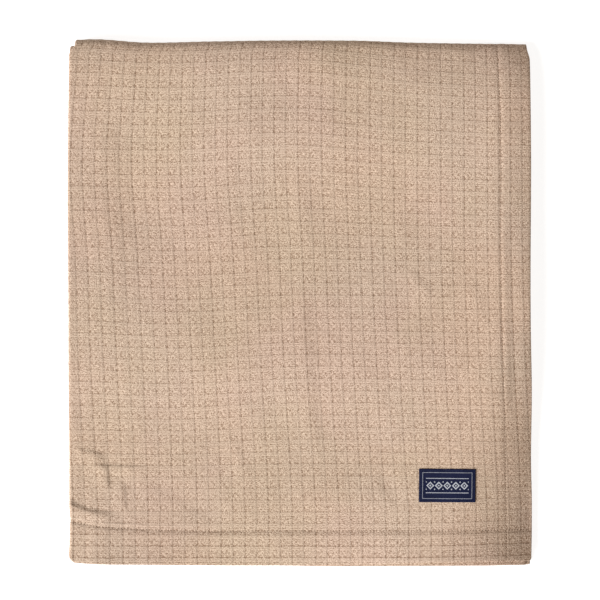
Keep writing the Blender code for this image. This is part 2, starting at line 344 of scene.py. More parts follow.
def top_height(x, y, half):
    """The height of the stack's upper surface, without the weave's own relief."""
    sink = droop(half.y - y, BACK_DROOP, x) + droop(half.x - x, RIGHT_DROOP, y)
    sink += droop(half.y + y, FRONT_DROOP, x) + droop(half.x + x, LEFT_DROOP, y)
    rumples = sum(height * noise_field(x, y, length, RUMPLE_SEED) for length, height in RUMPLES)
    return STACK - sink + swell_heights(x, y) + crease_heights(x, y) + rumples


# ---- The folded strip ----
# A station is a place across the strip: a stretch of the cloth's line, a share of that stretch, the side of
# the cloth (1 is the top ply's upper side) and how far it goes round a blunt end.

Stations = namedtuple("Stations", "stretch share side beyond")
HEM_BAND, TOP_PLY, LEFT_TURN, LOWER_PLY, RIGHT_TURN, MIDDLE_PLY = range(6)


def graded(length, seam_at_start=False, seam_at_end=False, fine=(0.0, 0.0)):
    """Shares of a length, with closer ones on a fine stretch and beside a seam at its start or end."""
    stops, steps = [0.0, *fine, length], (TOP_STEP, FINE_STEP, TOP_STEP)
    distances = {0.0}
    for start, end, step in zip(stops, stops[1:], steps):
        distances |= set(np.linspace(start, end, max(2, round((end - start) / step) + 1)))
    for seam_here, place, inwards in ((seam_at_start, 0.0, 1), (seam_at_end, length, -1)):
        if seam_here:
            distances = {d for d in distances if abs(d - place) > 3 * SEAM_STEP}
            distances |= {place + inwards * k * SEAM_STEP for k in range(3)}
    return np.array(sorted(distances)) / length


def skin(stretches, side):
    """Stations along one side of the cloth, from the outer hem to the hem that is turned in."""
    later = [(stretch, s, side, 0.0) for stretch, shares in stretches for s in shares[1:]]
    return [(HEM_BAND, 0.0, side, 0.0), *later]


def round_end(stretch, share, towards):
    """Stations round an end of the section, from one side of the cloth to the other."""
    angles = np.linspace(np.pi / 2, -np.pi / 2, ROUND_END_STEPS + 2)[1:-1]
    return [(stretch, share, math.sin(angle), towards * math.cos(angle)) for angle in angles]


def section_stations(hem_width, field_width):
    """The strip's closed section, and which of its stations are on the cloth's two sides."""
    hidden = (
        (LEFT_TURN, np.linspace(0, 1, LEFT_TURN_SIDES + 1)),
        (LOWER_PLY, np.linspace(0, 1, COARSE_STATIONS + 1)),
        (RIGHT_TURN, np.linspace(0, 1, RIGHT_TURN_SIDES + 1)),
        (MIDDLE_PLY, np.linspace(0, 1, COARSE_STATIONS + 1)),
    )
    field = graded(field_width, seam_at_start=True, fine=(field_width - FINE_LEFT, field_width))
    shown = ((HEM_BAND, graded(hem_width, seam_at_end=True)), (TOP_PLY, field))
    under = ((HEM_BAND, np.linspace(0, 1, 4)), (TOP_PLY, np.linspace(0, 1, COARSE_STATIONS + 1)))
    upper, lower = skin(shown + hidden, 1.0), skin(under + hidden, -1.0)
    rows = upper + round_end(MIDDLE_PLY, 1.0, 1) + lower[::-1] + round_end(HEM_BAND, 0.0, -1)[::-1]
    first_lower = len(upper) + ROUND_END_STEPS
    columns = (np.array(column)[:, None] for column in zip(*rows))
    return Stations(*columns), np.arange(len(upper)), np.arange(first_lower, first_lower + len(lower))


# A place along the strip's path: its middle, the way its outer side faces, its run, its share of the
# cloth's thickness, whether its run is an outer one, and how far it has gone and turned since the top run.

Places = namedtuple("Places", "y z out_y out_z run body outer gone turned")


def run_height(run):
    """The middle of a run of the strip, counted from the bottom."""
    return STRIP / 2 + run * STRIP_STEP


def straight(run, outward, ys):
    """Places along a run."""
    return [(y, run_height(run), 0.0, outward, run, 1.0) for y in ys]


def turn(low_run, high_run, centre_y, bulge, outward, sides, power=2.0):
    """Places round the half turn that joins two runs, from the lower to the higher, without its ends. It is
    round where the power is 2 and squarer where that is more."""
    radius = (run_height(high_run) - run_height(low_run)) / 2
    rows = []
    for k in range(1, sides):
        share = k / sides
        away_y, away_z = math.sin(math.pi * share), -math.cos(math.pi * share)
        reach = radius * (away_y**power + abs(away_z) ** power) ** (-1 / power)
        at = (centre_y + reach * bulge * away_y, run_height(low_run) + radius + reach * away_z)
        out_y, out_z = away_y ** (power - 1), math.copysign(abs(away_z) ** (power - 1), away_z)
        size = outward / math.hypot(out_y, out_z)
        run = low_run + (high_run - low_run) * share
        rows.append((*at, bulge * out_y * size, out_z * size, run, 1.0))
    return rows


def blunt_end(run, outward, y):
    """Places where the cloth's thickness closes at an end hem, from the edge inwards."""
    angles = np.linspace(0, np.pi / 2, ROUND_END_STEPS + 2)[1:]
    height = run_height(run)
    return [(y + CLOTH / 2 * (1 - math.cos(a)), height, 0.0, outward, run, math.sin(a)) for a in angles]


def strip_places(half_length, seam_y):
    """The places along the strip, from the top hem to the hem under it."""
    front = -half_length
    thick_y = half_length - STACK / 2
    thin_y = front + FRONT_SETBACK + (STRIP + STRIP_STEP) / 2
    hem = front + (seam_y - front) * graded(seam_y - front, seam_at_end=True)
    fine = [front + place - seam_y for place in FINE_FRONT]
    field = seam_y + (thick_y - seam_y) * graded(thick_y - seam_y, seam_at_start=True, fine=fine)
    coarse = np.linspace(thin_y, thick_y, COARSE_PLACES)
    outer = blunt_end(TOP_RUN, 1, front)
    outer += straight(TOP_RUN, 1, (*hem[1:], *field[1:]))
    outer += reversed(turn(0, TOP_RUN, thick_y, 1, 1, THICK_TURN_SIDES, THICK_TURN_POWER))
    outer += straight(0, -1, coarse[::-1])
    inner = turn(0, 1, thin_y, -1, 1, THIN_TURN_SIDES)
    inner += straight(1, 1, coarse)
    inner += turn(1, 2, thick_y + INNER_TURN_OUT, 1, -1, THIN_TURN_SIDES)
    inner += straight(2, -1, coarse[::-1])
    inner += reversed(blunt_end(2, -1, front + FRONT_SETBACK))
    y, z, out_y, out_z, run, body = (np.array(column) for column in zip(*outer, *inner))
    gone = np.concatenate([[0.0], np.cumsum(np.hypot(np.diff(y), np.diff(z)))])
    gone = np.maximum(0.0, gone - gone[np.flatnonzero(run == TOP_RUN)[-1]])
    turned = np.pi / 2 - np.unwrap(np.arctan2(out_z, out_y))
    in_outer = np.arange(len(y)) < len(outer)
    return Places(y, z, out_y, out_z, run, body, in_outer, gone, turned)


def strip_edges(places, half):
    """The strip's left fold, right fold, hem and seam at each place. Hidden runs stray inwards."""
    thick_y = half.y - STACK / 2
    hidden = LAYER_STRAY * np.clip(TOP_RUN - places.run, 0, 1) * eased_between(places.y, STRAY_ENDS, (1, 0))
    other_way = STRAY_LENGTH * places.run
    stray = [hidden * (1 + noise_field(places.y, other_way, STRAY_LENGTH, seed)) for seed in STRAY_SEEDS]
    left = -half.x + along(SIDE_EDGES, places.y, "left") + stray[0]
    hem = half.x - along(SIDE_EDGES, places.y, "right") - stray[1]
    beyond = places.y - (thick_y - DRAW_STARTS_BEFORE)
    left += places.outer * LEFT_DRAW * eased(beyond / LEFT_DRAW_OVER)
    hem -= places.outer * RIGHT_DRAW * eased(beyond / RIGHT_DRAW_OVER)
    return left, hem - RIGHT_FOLD_INSET - stray[2], hem, along(SIDE_SEAM, places.y, "at")


def section_line(stations, left, fold, hem, seam):
    """The middle line of the cloth across the strip, for each station (down) and place (across): its x, its
    height, the angle that it runs at, and its length beyond the top ply."""
    s = stations.share
    sin, cos = np.sin(np.pi * s), np.cos(np.pi * s)
    bulge = LEFT_TURN_BULGE * PLY_STEP
    turn_x = left + bulge + CLOTH / 2
    fold_x = fold - PLY_STEP / 2 - CLOTH / 2
    hem_x = hem - CLOTH / 2
    inner_x = turn_x + TURNED_IN_HEM
    round_left, round_right = np.pi * (PLY_STEP + bulge) / 2, np.pi * PLY_STEP / 2
    lower = fold_x - turn_x
    to_right = round_left + lower
    to_middle = to_right + round_right
    left_angle = np.pi + np.arctan2(sin, LEFT_TURN_BULGE * cos)
    right_x, right_height = fold_x + PLY_STEP / 2 * sin, -PLY_STEP / 2 * (1 + cos)
    middle_x = fold_x + (inner_x - fold_x) * s
    stretches = {
        HEM_BAND: (hem_x + (seam - hem_x) * s, PLY_STEP, np.pi, 0),
        TOP_PLY: (seam + (turn_x - seam) * s, PLY_STEP, np.pi, 0),
        LEFT_TURN: (turn_x - bulge * sin, PLY_STEP * cos, left_angle, round_left * s),
        LOWER_PLY: (turn_x + lower * s, -PLY_STEP, 2 * np.pi, round_left + lower * s),
        RIGHT_TURN: (right_x, right_height, np.pi * (2 + s), to_right + round_right * s),
        MIDDLE_PLY: (middle_x, 0, 3 * np.pi, to_middle + fold_x - middle_x),
    }
    shape = np.broadcast_shapes(s.shape, turn_x.shape)
    line = np.zeros((4, *shape))
    for stretch, values in stretches.items():
        here = np.broadcast_to(stations.stretch == stretch, shape)
        for row, value in zip(line, values):
            row[here] = np.broadcast_to(value, shape)[here]
    return line


def weave_at(x, y):
    """The cloth's own coordinates at places on the top ply. The check lies a little out of square."""
    shifts = []
    for rows in (ACROSS_SKEW, LENGTHWISE_SKEW):
        columns = [along(rows, y, name) for name in rows[0]._fields[1:]]
        shifts.append(smooth_between(SKEW_X, np.stack(columns), x))
    return x + shifts[0] - CELL_START[0], y + shifts[1] - CELL_START[1]


def hem_relief(side_gap, end_gap, x, y):
    """How far the hems stand up from the top ply, with a dip along each seam."""
    side_shows = eased_between(y, SIDE_HEM_SHOWS, SIDE_HEM_SHARES)
    end_shows = eased_between(x, END_SEAM_SHOWS, END_SEAM_SHARES)
    band = np.maximum(side_shows * eased(side_gap / HEM_RISES_OVER), eased(end_gap / HEM_RISES_OVER))
    side_dip = np.exp(-((side_gap / SEAM_DIP_HALF_WIDTH) ** 2))
    end_dip = np.exp(-((end_gap / SEAM_DIP_HALF_WIDTH) ** 2)) * end_shows
    return HEM_THICKER * band - SEAM_DIP * np.maximum(side_dip, end_dip)


def make_cloth(half):
    """The bedspread's mesh, with the cloth's own coordinates in two UV layers, and the line of each seam on
    it: its points and the ways out of the cloth there."""
    seam_x, seam_y = along(SIDE_SEAM, 0.0, "at"), END_SEAM[-1].at
    stations, upper, lower = section_stations(half.x - seam_x, half.x + seam_x)
    places = strip_places(half.y, seam_y)
    x, height, angle, past = section_line(stations, *strip_edges(places, half))
    run = np.broadcast_to(places.run, x.shape)
    to_skin = CLOTH / 2 * places.body
    normal_x, normal_h = stations.side * np.sin(angle), -stations.side * np.cos(angle)
    x = x + to_skin * (normal_x + stations.beyond * np.cos(angle))
    height = height + to_skin * (normal_h + stations.beyond * np.sin(angle))
    y = places.y + places.out_y * height
    z = places.z + places.out_z * height
    y = y + edge_shift(x, y, run, half, seam_y)
    z = z * top_height(x, y, half) / STACK

    # The cloth's coordinates are read off the top. Round the folds, they go on by its own length.
    across, lengthwise = weave_at(x, y)
    last_of_top = (stations.stretch == TOP_PLY) & (stations.share == 1.0) & (stations.side == 1.0)
    turn_start = np.flatnonzero(last_of_top)[0]
    length_past = past + stations.side * CLOTH / 2 * np.maximum(0, angle - np.pi)
    across = np.where(stations.stretch > TOP_PLY, across[turn_start] - length_past, across)
    top_end = np.flatnonzero(places.run == TOP_RUN)[-1]
    beyond_top = np.arange(len(places.y)) > top_end
    across = np.where(beyond_top, across[:, [top_end]], across)
    length_gone = places.gone + height * places.turned
    lengthwise = np.where(beyond_top, lengthwise[:, [top_end]] + length_gone, lengthwise)

    # The hems and the check stand out of the side of the cloth that shows.
    side_gap = np.where(stations.stretch <= TOP_PLY, x - along(SIDE_SEAM, y, "at"), -1.0)
    end_gap = np.where(run == TOP_RUN, along(END_SEAM, x, "at") - y, -1.0)
    shown = (stations.stretch <= LEFT_TURN) & (stations.side > 0) & places.outer
    shown = shown * eased(places.run - RELIEF_FROM_RUN) * places.body
    out = shown * (hem_relief(side_gap, end_gap, x, y) + CELL_RELIEF * pillows(across, lengthwise))
    points = np.stack([x, y, z], -1)
    normals = np.stack([normal_x + 0 * x, places.out_y * normal_h, places.out_z * normal_h], -1)
    points = points + out[..., None] * normals

    mesh = grid_mesh("folded_cloth", points, stations, upper, lower)
    add_uv(mesh, "weave", np.stack([across, lengthwise], -1))
    add_uv(mesh, "hem", np.stack([side_gap, end_gap], -1))

    # The seams follow the mesh: the side seam down the thick fold, the end seam round the left fold.
    seam_station = upper[(stations.stretch + stations.share)[upper, 0] == 1.0][0]
    side_seam = np.flatnonzero((places.body == 1.0) & (places.run > SEAM_ENDS_AT_RUN) & places.outer)
    seam_place = np.argmin(np.abs(places.y - seam_y) + (places.run != TOP_RUN))
    end_seam = upper[(stations.stretch[upper, 0] <= LEFT_TURN) & (upper > 0)]
    seams = [(rows[seam_station, side_seam], rows[end_seam, seam_place]) for rows in (points, normals)]
    return mesh, list(zip(*seams))


def edge_shift(x, y, run, half, seam_y):
    """How far the cloth lies from its straight-edged place, along y: its ends stray, its front corners are
    rounded and its end seam wanders."""
    on_top = run == TOP_RUN
    front = np.where(on_top, along(END_EDGES, x, "front"), along(END_EDGES, x, "lower_front"))
    shift = front * eased(-y / half.y) - along(END_EDGES, x, "back") * eased(y / half.y)
    for edge, outwards, radius in (("left", -1, LEFT_CORNER_ROUND), ("right", 1, RIGHT_CORNER_ROUND)):
        gap = half.x - outwards * x - along(SIDE_EDGES, y, edge)
        into = np.clip(1 - gap / radius, 0, 1)
        near_front = eased(1 - (half.y + y) / (3 * radius))
        shift = shift + radius * (1 - np.sqrt(1 - into * into)) * near_front
    seam = np.exp(-(((y - seam_y) / SEAM_PULL) ** 2)) * on_top
    return shift + (along(END_SEAM, x, "at") - seam_y - shift) * seam


def pillows(across, lengthwise):
    """The swelling of the cloth between the lines of the check, -1 to 1."""
    return -0.5 * (np.cos(2 * np.pi * across / CELL[0]) + np.cos(2 * np.pi * lengthwise / CELL[1]))


def new_mesh(name, points, faces):
    """A smooth mesh."""
    mesh = bpy.data.meshes.new(name)
    mesh.from_pydata(points.reshape(-1, 3), [], faces)
    mesh.shade_smooth()
    return mesh


def quads_between(number, around):
    """Faces between the points of rings and the next points round them, from ring to ring."""
    corners = [number[:, :-1], around[:, :-1], around[:, 1:], number[:, 1:]]
    return np.stack(corners, -1).reshape(-1, 4).tolist()


def grid_mesh(name, points, stations, upper, lower):
    """A closed mesh: a tube whose rings are the columns of points, with the two end rings closed."""
    ring_size, ring_count = points.shape[:2]
    number = np.arange(ring_size * ring_count).reshape(ring_size, ring_count)
    faces = quads_between(number, np.roll(number, -1, axis=0))
    order = (stations.stretch + stations.share)[:, 0]
    ends = closing_faces(order, upper, lower, ring_size)
    for place in (0, ring_count - 1):
        faces += [number[list(face), place].tolist() for face in ends]
    mesh = new_mesh(name, points, faces)
    made = bmesh.new()
    made.from_mesh(mesh)
    bmesh.ops.recalc_face_normals(made, faces=made.faces)
    made.to_mesh(mesh)
    made.free()
    return mesh


def closing_faces(order, upper, lower, ring_size):
    """Faces that close an end ring: triangles between the cloth's sides, and one at each blunt end."""
    across = lower[::-1]
    steps = sorted([(order[n], False) for n in upper[1:]] + [(order[n], True) for n in across[1:]])
    i, k, faces = 0, 0, []
    for _, below in steps:
        faces.append((upper[i], across[k], across[k + 1] if below else upper[i + 1]))
        i, k = i + (not below), k + below
    faces.append(tuple(range(upper[-1], lower[0] + 1)))
    faces.append((*range(lower[-1], ring_size), upper[0]))
    return faces


def add_uv(mesh, name, vertex_uv):
    """A UV layer from one coordinate pair for each vertex."""
    layer = mesh.uv_layers.new(name=name)
    loops = np.empty(len(mesh.loops), dtype=np.int32)
    mesh.loops.foreach_get("vertex_index", loops)
    layer.data.foreach_set("uv", vertex_uv.reshape(-1, 2)[loops].astype(np.float32).ravel())


# ---- Threads ----


def thread_mesh(name, lines, pitch, length, radius):
    """A running stitch along each line, as short bowed threads that dip into the cloth at their ends."""
    ring_s = np.array([-1.0, -0.9, -0.6, -0.2, 0.2, 0.6, 0.9, 1.0])
    ring_radius = radius * np.sqrt(1 - 0.9 * ring_s**6)
    ring_rise = radius * (1.1 - 2.4 * ring_s**2)
    angles = np.arange(THREAD_SIDES) * 2 * np.pi / THREAD_SIDES - np.pi / 2
    points, uv = [], []
    for line, normals in lines:
        gone = np.concatenate([[0], np.cumsum(np.linalg.norm(np.diff(line, axis=0), axis=1))])
        for middle in np.arange(pitch, gone[-1] - pitch / 2, pitch):
            start, end, out = (
                np.array([np.interp(middle + shift, gone, column) for column in rows.T])
                for shift, rows in ((-length / 2, line), (length / 2, line), (0, normals))
            )
            side = np.cross(end - start, out)
            side, out = side / np.linalg.norm(side), out / np.linalg.norm(out)
            spine = (start + end) / 2 + np.outer(ring_s, end - start) / 2 + np.outer(ring_rise, out)
            around = np.outer(np.cos(angles), side) + np.outer(np.sin(angles), out)
            points.append(spine[:, None] + ring_radius[:, None, None] * around)
            thread_uv = np.broadcast_arrays(ring_s[:, None] * length / 2, angles / (2 * np.pi))
            uv.append(np.stack(thread_uv, -1))
    shape = (len(points), len(ring_s), THREAD_SIDES)
    number = np.arange(np.prod(shape)).reshape(shape)
    faces = quads_between(number, np.roll(number, -1, axis=2))
    faces += number[:, 0, ::-1].tolist() + number[:, -1].tolist()
    mesh = new_mesh(name, np.concatenate(points), faces)
    add_uv(mesh, "thread", np.concatenate(uv))
    return mesh


# ---- The label ----


def label_height(inside):
    """How far the label's upper side stands above its lower side, by the distance inside its edge."""
    rounded = np.sqrt(1 - np.clip(1 - inside / LABEL_ROUND, 0, 1) ** 2)
    into = eased((inside - LABEL_TURNED_UNDER) / LABEL_TURNED_UNDER_OVER)
    turned_under = LABEL_TURNED_UNDER_RISE * (1 - into)
    dip = LABEL_SEAM_DIP * np.exp(-(((inside - LABEL_SEAM_IN) / LABEL_SEAM_HALF_WIDTH) ** 2))
    return LABEL_THICKNESS * rounded + (turned_under - dip) * rounded


def label_lines(length):
    """The places of the label's mesh lines along one side, from its middle, closer near the edges."""
    near = [0, 0.05, 0.15, 0.3, 0.5, 0.8, 1.2, 1.6, 2.0, 2.5, 3.2, 4.0]
    near = np.array(near) * LABEL_ROUND * 2
    inner = np.linspace(near[-1], length - near[-1], round((length - 2 * near[-1]) / LABEL_STEP) + 1)
    return np.concatenate([near[:-1], inner, (length - near[:-1])[::-1]]) - length / 2


def place_on_label(u, v, above, half):
    """Points of the label, from their places on it and their heights above its lower side."""
    turn = math.radians(LABEL_TURN_DEG)
    x = LABEL_AT[0] + u * math.cos(turn) - v * math.sin(turn)
    y = LABEL_AT[1] + u * math.sin(turn) + v * math.cos(turn)
    lower_side = top_height(x, y, half) + CELL_RELIEF + LABEL_GAP
    return np.stack([x, y, lower_side + above], -1)


def make_label(half):
    """The label's closed mesh, which lies on the cloth, and the lines of its four seams."""
    u, v = np.meshgrid(label_lines(LABEL_SIZE[0]), label_lines(LABEL_SIZE[1]), indexing="ij")
    inside = np.minimum(LABEL_SIZE[0] / 2 - np.abs(u), LABEL_SIZE[1] / 2 - np.abs(v))
    upper = place_on_label(u, v, label_height(inside), half)
    lower = place_on_label(u, v, 0 * u, half)
    top = np.arange(u.size).reshape(u.shape)
    rim = (inside <= 1e-9).ravel()
    under = np.where(rim, top.ravel(), u.size + np.cumsum(~rim) - 1).reshape(u.shape)

    faces = quads_between(top[:-1], top[1:])
    faces += [face[::-1] for face in quads_between(under[:-1], under[1:])]
    mesh = new_mesh("label", np.concatenate([upper.reshape(-1, 3), lower.reshape(-1, 3)[~rim]]), faces)
    flat = np.stack([u, v], -1).reshape(-1, 2)
    add_uv(mesh, "label", np.concatenate([flat, flat[~rim]]))

    lines = []
    reach = np.array(LABEL_SIZE) / 2 - LABEL_SEAM_IN
    up = np.tile([0.0, 0.0, 1.0], (LABEL_SEAM_POINTS, 1))
    corners = ((-1, -1), (1, -1), (1, 1), (-1, 1), (-1, -1))
    for start, end in zip(corners, corners[1:]):
        line_u, line_v = (np.linspace(start, end, LABEL_SEAM_POINTS) * reach).T
        lines.append((place_on_label(line_u, line_v, label_height(LABEL_SEAM_IN), half), up))
    return mesh, lines


# ---- Materials ----


class Recipe:
    """One procedural material. Values may be numbers or other nodes' outputs."""

    def __init__(self, name, specular=0.3, sheen=0.0, sheen_roughness=0.5):
        self.material = bpy.data.materials.new(name)
        self.material.use_nodes = True
        self.tree = self.material.node_tree
        self.surface = self.tree.nodes["Principled BSDF"]
        self.surface.inputs["Specular IOR Level"].default_value = specular
        self.surface.inputs["Sheen Weight"].default_value = sheen
        self.surface.inputs["Sheen Roughness"].default_value = sheen_roughness

    def node(self, kind, inputs=(), **settings):
        """A shader node with these settings, and these inputs by name or number."""
        made = self.tree.nodes.new("ShaderNode" + kind)
        for name, value in settings.items():
            setattr(made, name, value)
        for place, value in dict(inputs).items():
            if isinstance(value, bpy.types.NodeSocket):
                self.tree.links.new(value, made.inputs[place])
            else:
                made.inputs[place].default_value = value
        return made

    def math(self, operation, *values):
        return self.node("Math", enumerate(values), operation=operation).outputs[0]

    def joined(self, operation, first, *others):
        for other in others:
            first = self.math(operation, first, other)
        return first

    plus = partialmethod(joined, "ADD")
    times = partialmethod(joined, "MULTIPLY")
    most = partialmethod(joined, "MAXIMUM")

    def weighted(self, *terms):
        """The sum of the terms' products."""
        return self.plus(*(self.times(*term) for term in terms))

    def size(self, value):
        return self.math("ABSOLUTE", value)

    def ramp(self, value, start, end, low=0.0, high=1.0):
        """Goes from low to high as the value goes from start to end, with a level start and end."""
        numbers = enumerate((value, start, end, low, high))
        return self.node("MapRange", numbers, interpolation_type="SMOOTHSTEP").outputs[0]

    def band(self, value, rise_start, rise_end, fall_start, fall_end):
        """1 between two slopes and 0 outside them."""
        fall = self.ramp(value, fall_end, fall_start)
        return self.times(self.ramp(value, rise_start, rise_end), fall)

    def wave(self, turns):
        """-1 to 1, once a turn."""
        return self.math("COSINE", self.times(turns, 2 * math.pi))

    def from_line(self, value, spacing):
        """The distance to the nearest line of a row of them, in spacings: 0 on a line, 0.5 halfway."""
        return self.math("PINGPONG", self.math("DIVIDE", value, spacing), 0.5)

    def vector_math(self, operation, *values):
        return self.node("VectorMath", enumerate(values), operation=operation)

    def spots(self, x, y, period_x, period_y, rows):
        """The sum of soft oval spots that repeat. A row is a spot's middle, its reaches and its value."""
        place = self.vector(x, y)
        total = []
        for middle_x, middle_y, reach_x, reach_y, value in rows:
            high, low = ((middle_x + k * period_x / 2, middle_y + k * period_y / 2, k) for k in (1, -1))
            wrapped = self.vector_math("WRAP", place, high, low).outputs[0]
            back = (-middle_x / reach_x, -middle_y / reach_y, 0)
            scaled = self.vector_math("MULTIPLY_ADD", wrapped, (1 / reach_x, 1 / reach_y, 0), back)
            gone = self.vector_math("LENGTH", scaled.outputs[0]).outputs["Value"]
            total.append(self.ramp(gone, 1.0, 0.0, 0.0, value))
        return self.plus(*total)

    def uv(self, layer):
        """A UV layer's two coordinates, and both as one vector."""
        vector = self.node("UVMap", uv_map=layer).outputs[0]
        split = self.node("SeparateXYZ", {0: vector})
        return *split.outputs[:2], vector

    def vector(self, x, y):
        return self.node("CombineXYZ", {0: x, 1: y}).outputs[0]

    def noise(self, vector, size, detail=2.0):
        """Noise of about 0.3 to 0.7, with features of this size in metres."""
        inputs = {"Vector": vector, "Scale": 1 / size, "Detail": detail}
        return self.node("TexNoise", inputs).outputs[0]

    def swing(self, vector, size, amount, detail=2.0):
        """Noise of about minus to plus the amount."""
        return self.times(self.plus(self.noise(vector, size, detail), -0.5), 4 * amount)

    def mix(self, share, first, second, **settings):
        """A colour between two, which may themselves be colours of three numbers or outputs."""
        colours = [c if isinstance(c, bpy.types.NodeSocket) else (*c, 1.0) for c in (first, second)]
        inputs = {0: share, 6: colours[0], 7: colours[1]}
        return self.node("Mix", inputs, data_type="RGBA", **settings).outputs[2]

    def finish(self, colour, roughness, height, depth):
        """Joins up the surface. The height is in units of depth, in metres."""
        bump = self.node("Bump", {"Height": height, "Distance": depth, "Strength": 1.0})
        inputs = {"Base Color": colour, "Roughness": roughness, "Normal": bump.outputs[0]}
        for name, value in inputs.items():
            self.tree.links.new(value, self.surface.inputs[name])
        return self.material


def cotton_material():
    """The woven check: a crepe patch in each cell, smooth raised bands between them, and sunk lines."""
    made = Recipe("cotton_cloth", specular=0.2, sheen=0.04, sheen_roughness=0.6)
    plus, times, ramp, band = made.plus, made.times, made.ramp, made.band
    maths, wave, swing = made.math, made.wave, made.swing
    across, lengthwise, place = made.uv("weave")
    across = plus(across, swing(place, 0.009, 0.00035))
    shifted = made.vector(plus(lengthwise, 7.7), across)
    lengthwise = plus(lengthwise, swing(shifted, 0.009, 0.0004))

    # The cell: where its lines are sunk and its bands are raised.
    column, level = maths("DIVIDE", across, CELL[0]), maths("DIVIDE", lengthwise, CELL[1])
    u, v = maths("FRACT", column), maths("FRACT", level)
    # The raised bands are lightened in the tone below, the cross band most along its front edge, which
    # faces the light: painted highlight.
    side_band = band(u, *SIDE_BAND)
    cross_band = band(v, *CROSS_BAND)
    cross_band_painted_highlight = band(v, *CROSS_BAND_EDGE)
    knots = made.node("TexVoronoi", {"Vector": place, "Scale": 1 / CREPE_KNOT, "Randomness": 0.9})
    knot_tone = made.node("SeparateColor", {0: knots.outputs["Color"]}).outputs[0]
    uneven = ramp(knot_tone, 0, 1, 1.4, 0.6)
    # The sunk lines and rows are darkened in the tone below, every other line more and the rows most in the
    # end hem: painted shade in the grooves.
    line = times(ramp(maths("PINGPONG", column, 0.5), 0.075, 0.01), uneven)
    row = times(ramp(maths("PINGPONG", plus(level, -0.02), 0.5), 0.09, 0.01), uneven)
    patch = times(ramp(cross_band, 0, 1, 1.0, 0.3), ramp(side_band, 0, 1, 1.0, 0.5))

    # The crepe: spots that repeat, ribs across, and knots of light and dark yarn.
    spots = made.spots(column, level, *SPOT_PERIOD, SPOTS)
    ribs = wave(times(level, RIBS_A_CELL))
    knot_height = ramp(knots.outputs["Distance"], 0.75, 0.1)
    speckle = times(plus(knot_tone, -0.5), plus(0.25, times(patch, 0.75)))
    fine = swing(place, 0.0012, 1.0, detail=1.0)
    threads = times(wave(times(level, THREADS_A_CELL)), wave(times(column, THREADS_A_CELL)))

    # Slow changes: yarn that runs darker along a line, and the cloth's own drift in shade.
    warp_streaks = swing(made.vector(across, times(lengthwise, 0.06)), 0.004, 1.0)
    weft_streaks = swing(made.vector(times(across, 0.06), lengthwise), 0.004, 1.0)
    drift = swing(place, 0.08, 1.0, detail=3.0)

    # The hems and seams, painted shade round the left fold and past it, and painted shade towards the front
    # right corner by the label.
    side_gap, end_gap, _ = made.uv("hem")
    side_seam = ramp(made.size(side_gap), 0.0013, 0.0003)
    end_shows = ramp(across, *END_SEAM_SHOWS, *END_SEAM_SHARES)
    end_seam = times(ramp(made.size(end_gap), 0.0019, 0.0005), end_shows)
    end_hem = ramp(end_gap, 0.006, 0.009)
    # Painted shade round the left fold and on past it.
    painted_fold_shade = ramp(side_gap, -0.6, -1.0)
    # The end hem's turned-in edge stands up in the bump and is lightened in the tone: a painted highlight
    # along it.
    hem_edge_rise_and_highlight = times(band(end_gap, *HEM_EDGE), ramp(across, *HEM_EDGE_SHOWS))
    side_hem = times(ramp(side_gap, 0.004, 0.007), band(lengthwise, *SIDE_HEM_LINES))
    # Painted shade that darkens the cloth towards the front right corner.
    corner = times(ramp(side_gap, -0.045, 0.035), ramp(end_gap, -0.10, 0.02))

    tone = made.weighted(
        (CLOTH_TONE,),
        (line, ramp(wave(times(column, 0.5)), -1, 1, -0.04, -0.12)),
        (row, ramp(end_hem, 0, 1, -0.05, -0.28)),
        (painted_fold_shade, -0.12), (side_band, 0.06), (cross_band, 0.05), (cross_band_painted_highlight, 0.05),
        (patch, -0.03), (spots,), (ribs, -0.075), (speckle, 0.45), (fine, 0.66), (threads, 0.03),
        (warp_streaks, 0.02), (weft_streaks, 0.02), (drift, 0.015),
        (side_seam, -0.26), (end_seam, -0.12), (hem_edge_rise_and_highlight, 0.11), (line, side_hem, -0.16), (corner, -0.19),
    )
    colour = made.mix(tone, DARK_YARN, LIGHT_YARN)
    for where, first, second in ((place, GREEN_TINT, ROSY_TINT), (shifted, BLUE_TINT, SALLOW_TINT)):
        patches = ramp(made.noise(where, TINT_PATCH, detail=6.0), 0.36, 0.64)
        colour = made.mix(1.0, colour, made.mix(patches, first, second), blend_type="MULTIPLY")
    height = made.weighted(
        (line, -0.30), (row, -0.15), (hem_edge_rise_and_highlight, 0.6), (side_band, 0.4), (cross_band, 0.3),
        (spots, 0.5), (ribs, -0.1), (knot_height, patch, 0.45), (fine, 0.12), (threads, 0.06),
    )
    roughness = ramp(tone, 0.2, 0.9, 0.95, 0.82)
    return made.finish(colour, roughness, height, WEAVE_DEPTH)


def thread_material(name, dark, light):
    """Twisted sewing thread."""
    made = Recipe(name, specular=0.35, sheen=0.1)
    along_thread, around, place = made.uv("thread")
    turns = made.plus(made.math("DIVIDE", along_thread, THREAD_TWIST), around)
    twist = made.math("SINE", made.times(turns, 2 * math.pi))
    tone = made.plus(0.55, made.times(twist, 0.3), made.swing(place, 0.002, 0.1))
    roughness = made.ramp(twist, -1, 1, 0.85, 0.6)
    return made.finish(made.mix(tone, dark, light), roughness, twist, THREAD_DEPTH)


